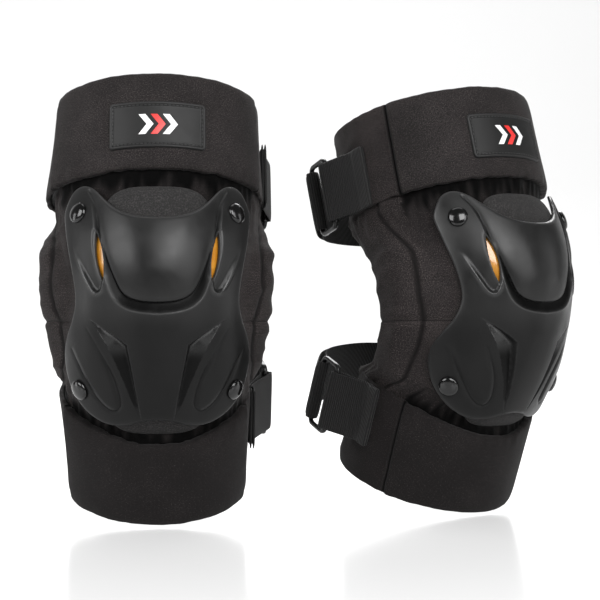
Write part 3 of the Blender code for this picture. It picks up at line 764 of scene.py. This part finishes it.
def cuff_face(cuff, angle, v, seed):
    """How far the cover's outer face stands from the cuff's ellipse, at height share v from -1 to 1."""
    padded = padding(angle)
    crowned = (1 - np.abs(v) ** 6) * 0.9 * MM * padded
    off = -PANEL_STEP * (1 - padded) + crowned - 0.5 * MM + flare(cuff, angle, v)
    arc = cuff["width"] * angle
    cloth = np.column_stack([arc, v * 38 * MM, arc * 0])
    seam = np.abs(angle) - PANEL_SEAM
    off -= 1.7 * MM * bump(seam * cuff["width"], 1.5 * MM)
    # soft pillowing of the padding, then creases where the thin side panels are pulled
    off += 0.7 * MM * wander(cloth, 22, seed) * padded
    puckers = wander(cloth * np.array([1, 2.6, 1]), 60, seed + 5)
    off += 0.45 * MM * puckers * bump(np.minimum(np.abs(seam) * cuff["width"], 1), 14 * MM)
    slanted = cloth @ np.array([[0.8, -0.45, 0], [0.6, 1.3, 0], [0, 0, 1]])
    folds = 1 - np.abs(wander(slanted, 34, seed + 9)) * 2
    pulled = (1 - padded) * smoothstep(-np.abs(np.abs(angle) - CUFF_REACH), -0.9, -0.05)
    off += (2.0 * folds - 1.2) * MM * pulled
    gathers = wander(cloth * np.array([1, 0.25, 1]), 120, seed + 3)
    off += (0.3 + 0.9 * (v * cuff["side"] > 0)) * MM * gathers * smoothstep(np.abs(v), 0.6, 0.98)
    return off


def add_cuff(guard, name):
    """A cuff's cover and its lining, as closed bands round the leg."""
    cuff = CUFFS[name]
    angles = dense_angles(CUFF_REACH, math.radians(1.15), (PANEL_SEAM, -PANEL_SEAM))
    heights = np.sin(math.pi / 2 * np.linspace(-1, 1, 40))
    shape = (1 - np.abs(heights) ** 7) ** (1 / 5)
    around = np.concatenate([heights, heights[-2:0:-1]])
    seed = guard.seed + (0 if name == "thigh" else 20)
    arcs = cuff["width"] * angles
    edge = np.outer(arcs, (1, 0, 0))
    wave = MM * (wander(edge, 55, seed + 2) + 1.1 * wander(edge, 140, seed + 12))
    away, at_knee = 0.4 * wave, -cuff["side"] * 1.3 * np.abs(wave)
    low_wave, high_wave = (at_knee, away) if name == "thigh" else (away, at_knee)
    top, gap, tuck, rounding = cuff_top(cuff, angles), 1.5 * MM, 2.5 * MM, 0.05
    hem = np.full(len(arcs), cuff["hem"])
    parts = {
        "cover": (CUFF_CLOTH, "cuff_fabric", ["cover", "foam"], hem + low_wave, top + high_wave),
        "lining": (LINING, "lining", ["lining"], hem + tuck, top - tuck),
    }
    for part, (look, slot, nodes, lows, highs) in parts.items():
        points, weave, shade = [], [], []
        for angle, arc, low, high in zip(angles, arcs, lows, highs):
            padded, here = padding(angle), np.full(len(heights), angle)
            widened = 0.8 * flare(cuff, here, heights)
            back = widened - PANEL_STEP * (1 - padded) - PANEL_THICKNESS
            back = back - (CUFF_THICKNESS - PANEL_THICKNESS) * padded
            if part == "cover":
                front, back = cuff_face(cuff, here, heights, seed), back + gap
            else:
                front = back + gap - 0.2 * MM
            past = max(abs(angle) - CUFF_REACH + rounding, 0)
            squeeze = math.sqrt(max(1 - past**2 / rounding**2, 0.0))
            centre, half = (front + back) / 2, (front - back) / 2 * squeeze * shape
            z = (low + high) / 2 + heights * (high - low) / 2
            off, up = np.concatenate([centre + half, (centre - half)[-2:0:-1]]), np.append(z, z[-2:0:-1])
            points.append(cuff_point(cuff, angle, off, up))
            weave.append(np.column_stack([np.full(len(off), arc), up - off * around]))
            # painted shade along the panel seam, and over the whole shin cuff
            at_seam = bump((abs(angle) - PANEL_SEAM) * cuff["width"], 1.3 * MM)
            shade.append(np.full(len(off), max(at_seam, cuff["shade"])))
        obj = guard.piece(
            f"{name}_{part}", np.vstack(points), tube_faces(len(angles), len(around)), look, slot,
            f"{name}_cuff", [f"{name}_{node}" for node in nodes], lean=cuff["lean"],
            weave=np.vstack(weave), shade=np.concatenate(shade),
        )
        if part == "cover":
            obj.data.materials.append(SIDE_CLOTH)
            inverse = (guard.matrix @ Matrix.Rotation(cuff["lean"], 4, "X")).inverted()
            for face in obj.data.polygons:
                here = inverse @ face.center
                if abs(math.atan2(here.x, -here.y)) > PANEL_SEAM:
                    face.material_index = 1


# ---------------------------------------------------------------- sleeves

SLEEVE_SEAM = -13 * MM


def pad_half_angle(z):
    share = np.minimum(np.abs(z - PAD_MID) / PAD_HALF_HEIGHT, 1)
    return PAD_HALF_WIDTH * (1 - share**PAD_POWER) ** (1 / PAD_POWER) / shell_radius(z)


def sleeve_base(angle, z):
    """The sleeve round the knee at height z: under the pad, under the shell, then flared into a side wing."""
    r, turn = shell_radius(z), np.abs(angle)
    off_mid = z - PAD_MID
    towards = z - np.copysign(np.minimum(np.abs(off_mid), 7 * MM), off_mid)
    start = pad_half_angle(towards) + math.radians(1.5)
    lift = -12.8 * MM + 8.6 * MM * smoothstep(turn, start, start + math.radians(6))
    flared = 90.5 * MM - 1.6 * (z - 35 * MM) ** 2
    centre = crown(z) + r
    wing = np.stack([flared * np.sin(angle), centre - flared * np.cos(angle), z], axis=-1)
    edge = np.radians(62 + 14 * np.minimum(np.abs(z - 8 * MM) / (40 * MM), 1))
    share = smoothstep(turn, edge, math.radians(96))[..., None]
    return on_shell(angle * r, z, lift) * (1 - share) + wing * share


def add_sleeve(guard, level):
    upper = level == "upper"
    name = "thigh" if upper else "shin"
    cuff = CUFFS[name]
    leave, arrive = 0.5 if upper else 0.74, 0.93
    reach, rows, columns = math.radians(108), 70, 190
    shares = np.linspace(-1, 1, columns)
    turn = np.array(Matrix.Rotation(cuff["lean"], 3, "X"))
    ups = np.linspace(0, 1, rows)
    grid = np.zeros((rows, columns, 3))
    angle_grid = np.zeros((rows, columns))
    for i, up in enumerate(ups):
        angle = shares * (reach + (CUFF_REACH - reach) * up**2)
        edge_z = np.full(columns, cuff["hem"] + 5 * MM) if upper else cuff_top(cuff, angle) - 5 * MM
        end = cuff_point(cuff, angle, -CUFF_THICKNESS / 2, edge_z) @ turn.T
        z = SLEEVE_SEAM + (end[:, 2] - SLEEVE_SEAM) * up
        share = smoothstep(np.full(columns, up), leave, arrive)[:, None]
        target = np.column_stack([end[:, 0], end[:, 1], z])
        grid[i] = sleeve_base(angle, z) * (1 - share) + target * share
        angle_grid[i] = angle
    du, dv = np.gradient(grid, axis=1), np.gradient(grid, axis=0)
    normal = unit(np.cross(du, dv) * (1 if upper else -1)).reshape(-1, 3)
    flat = grid.reshape(-1, 3)
    angle_flat, up_flat = angle_grid.ravel(), np.repeat(ups, columns)
    turned = np.abs(angle_flat)
    seed = guard.seed + (40 if upper else 60)
    visible = smoothstep(turned, math.radians(60), math.radians(78))
    edge_fade = smoothstep(up_flat, 0, 0.08)
    folds = 1 - 2 * np.abs(wander(flat * np.array([1, 1, 2.2]), 26, seed))
    small = wander(flat * np.array([1, 1, 1.7]), 75, seed + 4)
    height = visible * edge_fade * (1.8 * folds + 0.6 * small) * MM
    gather = wander(np.column_stack([angle_flat * 0.08, up_flat * 0.03, up_flat * 0]), 190, seed + 8)
    height += 2.0 * MM * gather * smoothstep(up_flat, 0.62, 0.85) * (1 - smoothstep(up_flat, arrive, 1.0))
    # seams: across the knee, and down each side wing
    height -= 0.9 * MM * bump(up_flat * 90, 1.8) * visible
    side_seam = (turned - np.radians(79 + 7 * up_flat)) * 88
    height -= 1.3 * MM * bump(side_seam, 1.8) * edge_fade
    outer = flat + normal * height[:, None]
    inner = outer - normal * 2.0 * MM
    weave = np.column_stack([angle_flat * 85 * MM, flat[:, 2]])
    # painted shade where the sleeve tucks under the hem, in the puckers at the hem and along the side seam
    tucked = smoothstep(up_flat, 0.45, 0.8) * (1 - smoothstep(turned, math.radians(55), math.radians(80)))
    at_hem = smoothstep(up_flat + 0.12 * gather, 0.8, arrive) * (turned < 1.2)
    shade = np.maximum(np.maximum(0.12 * tucked, 0.9 * at_hem), 0.5 * bump(side_seam, 1.5))
    obj = guard.piece(
        f"{level}_sleeve", np.vstack([outer, inner]), slab_faces(rows, columns), SIDE_CLOTH, "sleeve_fabric",
        None, [f"{level}_knee_sleeve"], weave=np.vstack([weave, weave]), shade=np.concatenate([shade, shade]),
    )
    axis = turn @ np.array([0, 0, 1 if upper else -1])
    start, end = (axis * (50 * MM), axis * (80 * MM)) if upper else (axis * (45 * MM), axis * (69 * MM))
    guard.world(start)
    guard.world(end)
    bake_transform(obj)


# ---------------------------------------------------------------- straps and rings

def half_turn(centre, radius, start, turn, count=9):
    out = []
    for i in range(count):
        a = turn * i / (count - 1)
        c, s = math.cos(a), math.sin(a)
        out.append(centre + radius * np.array([c * start[0] - s * start[1], s * start[0] + c * start[1]]))
    return out


def ribbon(guard, name, path, width, middle, lean, body, node, thickness=2.0 * MM):
    """A strap on edge along a path in the cuff's XY plane, with rounded selvedges."""
    line = spline(path, 1.6 * MM)
    side = sideways(line)
    length = np.concatenate([[0], np.cumsum(np.linalg.norm(np.diff(line, axis=0), axis=1))])
    across = np.sin(np.linspace(-math.pi / 2, math.pi / 2, 18))
    section = [(a * width / 2, thickness / 2 * (1 - abs(a) ** 8) ** 0.5) for a in across]
    section += [(z, -t) for z, t in section[::-1][1:-1]]
    points, weave = [], []
    for p, n, run in zip(line, side, length):
        for z, t in section:
            points.append((*(p + n * t), middle + z))
            weave.append((run, z + 2 * t))
    faces = tube_faces(len(line), len(section))
    guard.piece(name, points, faces, WEBBING, "webbing", body, [node], lean=lean, weave=np.array(weave))


def add_ring(guard, name, near, far, middle, lean):
    """A rounded rectangle of thick plastic, from near, in its web, to far, in the strap's bend."""
    span, along = far - near, unit(far - near)
    half, corner, thick, sides = 29 * MM, 5 * MM, 1.85 * MM, 16
    share = corner / np.linalg.norm(span)
    path = []
    for cx, cz, begin in ((share, half - corner, 180), (1 - share, half - corner, 90),
                          (1 - share, corner - half, 0), (share, corner - half, -90)):
        for i in range(7):
            a = math.radians(begin - 15 * i)
            flat = near + span * cx + along * corner * math.cos(a)
            path.append((*flat, middle + cz + corner * math.sin(a)))
    spaced = []
    for a, b in zip(np.array(path), np.roll(path, -1, axis=0)):
        n = max(1, int(np.linalg.norm(b - a) / (2.5 * MM)))
        spaced += [a + (b - a) * i / n for i in range(n)]
    path = np.array(spaced)
    tangent = unit(np.roll(path, -1, axis=0) - np.roll(path, 1, axis=0))
    outward = np.array([along[1], -along[0], 0])
    turns = [2 * math.pi * k / sides for k in range(sides)]
    rounded = [[np.sign(t) * abs(t) ** 0.7 for t in (math.cos(a), math.sin(a))] for a in turns]
    points = []
    for p, t in zip(path, tangent):
        other = np.cross(t, outward)
        points += [p + thick * (outward * c + other * s) for c, s in rounded]
    faces = grid_faces(len(path), sides, wrap_rows=True, wrap_columns=True)
    node = f"{name}_ring"
    guard.piece(node, points, faces, RING_PLASTIC, "ring_plastic", node, [node], lean=lean)


STRAPS = {
    "thigh": {
        "near": (87.5, 40.0), "far": (81.5, 65.5), "middle": 108,
        "rear": [(60, 90), (35, 101), (0, 105), (-35, 98), (-57, 78)],
    },
    "shin": {
        "near": (87.5, 36.0), "far": (82.5, 61.7), "middle": -97,
        "rear": [(60, 86), (34, 97), (0, 101), (-33, 94), (-52, 74)],
    },
}


def add_closure(guard, name):
    """A cuff's web, ring, strap and the strap's tab."""
    cuff, sizes = CUFFS[name], STRAPS[name]
    near, far, middle = np.array(sizes["near"]) * MM, np.array(sizes["far"]) * MM, sizes["middle"] * MM
    lean, body, width = cuff["lean"], f"{name}_cuff", 50 * MM
    along = unit(far - near)
    outward = np.array([along[1], -along[0]])

    def panel(degrees, lift):
        return [cuff_point(cuff, math.radians(a), lift - PANEL_STEP, 0)[:2] for a in degrees]

    loop = half_turn(near, 4.3 * MM, -outward, -math.pi)
    web = [*panel((88, 94, 99), 2.6 * MM), *loop, *panel((99, 94, 88), 5.0 * MM)]
    ribbon(guard, f"{name}_web", web, width, middle, lean, body, f"{name}_web")
    add_ring(guard, name, near, far, middle, lean)
    bend = half_turn(far, 5 * MM, outward, -math.pi)
    run = [np.array(p) * MM for p in sizes["rear"]]
    strap = [*bend, *run, *panel((-128, -118, -108, -100), 1.8 * MM)]
    ribbon(guard, f"{name}_strap", strap, width, middle, lean, body, f"{name}_strap")
    tab = [far + outward * 5 * MM + along * 1.2 * MM]
    for a, b in ((bend[-1], run[0]), (run[0], run[1])):
        side = unit(b - a)
        tab.append(b + np.array([side[1], -side[0]]) * 3.4 * MM)
    ribbon(guard, f"{name}_tab", tab, 46 * MM, middle, lean, f"{name}_tab", f"{name}_strap_tab", 1.8 * MM)


# ---------------------------------------------------------------- badge

def add_badge(guard):
    """A moulded rubber badge with a raised border and a stitched channel."""
    corner, rows, columns = 3.5 * MM, 76, 150
    sizes = ((columns, BADGE_HALF_WIDTH), (rows, BADGE_HALF_HEIGHT))
    u, v = np.meshgrid(*[np.sin(np.linspace(-1, 1, count) * math.pi / 2) * half for count, half in sizes])
    to_side, to_top = BADGE_HALF_WIDTH - np.abs(u), BADGE_HALF_HEIGHT - np.abs(v)
    dx, dz = np.maximum(corner - to_side, 0), np.maximum(corner - to_top, 0)
    over = np.hypot(dx, dz)
    d = np.where((dx > 0) & (dz > 0), corner - over, np.minimum(to_side, to_top)) / MM
    height = 2.0 * np.clip(d / 0.9, 0, 1) ** 0.5 - 0.9 * bump(d - 3.0, 0.7) - 0.5 * smoothstep(d, 3.6, 4.4)
    height = np.where(d < 0, -0.2, height)
    # pull the corners in to round them
    pull = np.where((over > corner) & (dz > 0), corner / np.maximum(over, 1e-9), 1.0)
    u = np.sign(u) * np.where(dx > 0, BADGE_HALF_WIDTH - corner + dx * pull, np.abs(u))
    v = np.sign(v) * np.where(dz > 0, BADGE_HALF_HEIGHT - corner + dz * pull, np.abs(v))
    layers = [
        cuff_point(THIGH, u / THIGH["width"], (0.5 + lift) * MM, BADGE_Z + v) for lift in (height, 0)
    ]
    lighter_edge = bump(d - 1.2, 1.0).ravel()
    guard.piece("badge", np.reshape(layers, (-1, 3)), slab_faces(rows, columns), BADGE_RUBBER, "badge_rubber",
                "thigh_cuff", ["badge"], lean=THIGH["lean"], edge=np.concatenate([lighter_edge, lighter_edge]))


def add_marks(guard):
    """A generic mark on the badge: three nested chevrons, from a closed outline in millimetres."""
    seat, height = 1.8, 0.5
    for k, (x, look) in enumerate(((-9, MARK_LIGHT), (0, MARK_RED), (9, MARK_LIGHT))):
        outline = [(x - 5, 8), (x, 8), (x + 6, 0), (x, -8), (x - 5, -8), (x + 1, 0)]
        outline = np.array(outline) * (guard.side, 1)
        centre = outline.mean(0)
        points = []
        for shrink, lift in ((1.0, seat), (1.0, seat + height * 0.8), (0.94, seat + height)):
            across, up = (centre + (outline - centre) * shrink).T * MM
            points.append(cuff_point(THIGH, across / THIGH["width"], lift * MM, BADGE_Z + up))
        obj = guard.piece(f"badge_mark_{k}", np.vstack(points), tube_faces(3, len(outline)), look,
                          "badge_rubber", "thigh_cuff", lean=THIGH["lean"])
        obj.data.set_sharp_from_angle(angle=math.radians(40))


def add_stitches(guard):
    """Stitches round the badge's channel, as short rounded bars in one mesh."""
    pitch, inset, rows, sides = 2.9, 3.0, 6, 8
    w, h = BADGE_HALF_WIDTH / MM - inset, BADGE_HALF_HEIGHT / MM - inset
    corners = [(-w, h), (w, h), (w, -h), (-w, -h)]
    turns = 2 * math.pi * np.arange(sides) / sides
    bar = tube_faces(rows, sides)
    points, faces = [], []
    for (ax, ay), (bx, by) in zip(corners, corners[1:] + corners[:1]):
        n = int(math.hypot(bx - ax, by - ay) / pitch)
        dx, dy = (bx - ax) / (n * pitch), (by - ay) / (n * pitch)
        for i in range(n):
            t = (i + 0.5) / n
            x, y = ax + (bx - ax) * t, ay + (by - ay) * t
            base = len(points) * sides
            faces += [tuple(base + i for i in face) for face in bar]
            for part in np.linspace(-1, 1, rows):
                thick = 0.42 * math.sqrt(max(1 - part**4, 0.04))
                across = (x + dx * part - dy * thick * np.cos(turns)) * MM
                up = (y + dy * part + dx * thick * np.cos(turns)) * MM
                off = (1.85 + thick * np.sin(turns)) * MM
                points.append(cuff_point(THIGH, across / THIGH["width"], off, BADGE_Z + up))
    guard.piece("badge_stitches", np.vstack(points), faces, THREAD, "badge_rubber", "thigh_cuff",
                lean=THIGH["lean"])


# ---------------------------------------------------------------- the pair

for guard in (Guard("left", 1, (0, 0, 0), 0.0, 1), Guard("right", -1, RIGHT_AT, RIGHT_TURN, 2)):
    add_shell(guard)
    add_rivets(guard)
    add_inserts(guard)
    add_pad(guard)
    for name in CUFFS:
        add_cuff(guard, name)
    for level in ("upper", "lower"):
        add_sleeve(guard, level)
    add_badge(guard)
    add_marks(guard)
    add_stitches(guard)
    for name in CUFFS:
        add_closure(guard, name)
for name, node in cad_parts.items():
    if name.endswith("washer"):
        node.data.materials.clear()
        node.data.materials.append(STEEL)


# ---------------------------------------------------------------- floor, light and camera

FLOOR_Z = cad_box[0].z - 1.5 * MM
sweep = []
for i in range(41):
    a = math.pi / 2 * max(0, min(1, (i - 12) / 12))
    y = -6 + 8 * min(i, 12) / 12 + 1.5 * math.sin(a)
    z = FLOOR_Z + 1.5 * (1 - math.cos(a)) + max(0, i - 24) * 0.3
    sweep.append((y, z))
stage_points = [(x, y, z) for y, z in sweep for x in (-5, 5)]
stage_mesh = bpy.data.meshes.new("backdrop")
stage_mesh.from_pydata(stage_points, [], grid_faces(len(sweep), 2))
stage_mesh.shade_smooth()
PAPER, FADE = 0.42, (-0.95, -0.42)
paper = Look("backdrop", grey(PAPER), 0.15, Emission_Color=(1, 1, 1, 1), Specular_IOR_Level=0.3)
# the floor darkens in front of the guards, so that it doesn't light them from below
depth = paper.add("SeparateXYZ", {"Vector": paper.place()}).outputs["Y"]
paper.link(paper.levels(depth, 0.0, 0.48, *FADE), "Emission Strength")
tones = [(0.0, grey(0.1)), (1.0, grey(PAPER))]
paper.link(paper.ramp(paper.levels(depth, 0.0, 1.0, *FADE), *tones), "Base Color")
stage_mesh.materials.append(paper.material)
backdrop = bpy.data.objects.new("backdrop", stage_mesh)
bpy.context.scene.collection.objects.link(backdrop)


def area_light(name, at, size, power, target=(0.11, 0.0, 0.0)):
    data = bpy.data.lights.new(name, "AREA")
    data.shape = "RECTANGLE"
    data.size, data.size_y = size
    data.energy = power
    obj = bpy.data.objects.new(name, data)
    obj.location = at
    obj.rotation_euler = (Vector(target) - Vector(at)).to_track_quat("-Z", "Y").to_euler()
    bpy.context.scene.collection.objects.link(obj)


area_light("key_left", (-1.3, -1.0, 0.75), (1.1, 1.0), 24)
area_light("key_top", (0.45, -1.25, 0.75), (0.8, 0.8), 19)
area_light("fill_right", (1.15, -1.1, 0.45), (0.6, 0.9), 8)
area_light("top", (0.1, 0.2, 1.5), (1.2, 0.7), 4)
area_light("back_wash", (0.1, 1.2, 1.4), (2.5, 1.2), 56, target=(0.1, 2.5, 0.5))
area_light("rear_fill", (0.1, 1.0, 0.9), (1.2, 0.6), 20)
area_light("left_strip", (-1.25, 0.05, 0.0), (0.3, 1.0), 3, target=(0.0, 0.0, 0.0))
area_light("right_strip", (1.5, 0.0, 0.1), (0.3, 1.0), 2, target=(0.24, 0.05, 0.0))

world = bpy.data.worlds.new("studio")
world.use_nodes = True
world.node_tree.nodes["Background"].inputs["Color"].default_value = (1, 1, 1, 1)
world.node_tree.nodes["Background"].inputs["Strength"].default_value = 0.12
bpy.context.scene.world = world
bpy.context.scene.view_settings.view_transform = "Standard"

camera = bpy.data.objects.new("camera", bpy.data.cameras.new("camera"))
camera.data.lens, camera.data.sensor_width = 115, 36
camera.data.clip_end = 50
camera.location = (0, -1.5, 0.004)
camera.rotation_euler = (math.pi / 2, 0, math.radians(-4.25))
bpy.context.scene.collection.objects.link(camera)
bpy.context.scene.camera = camera
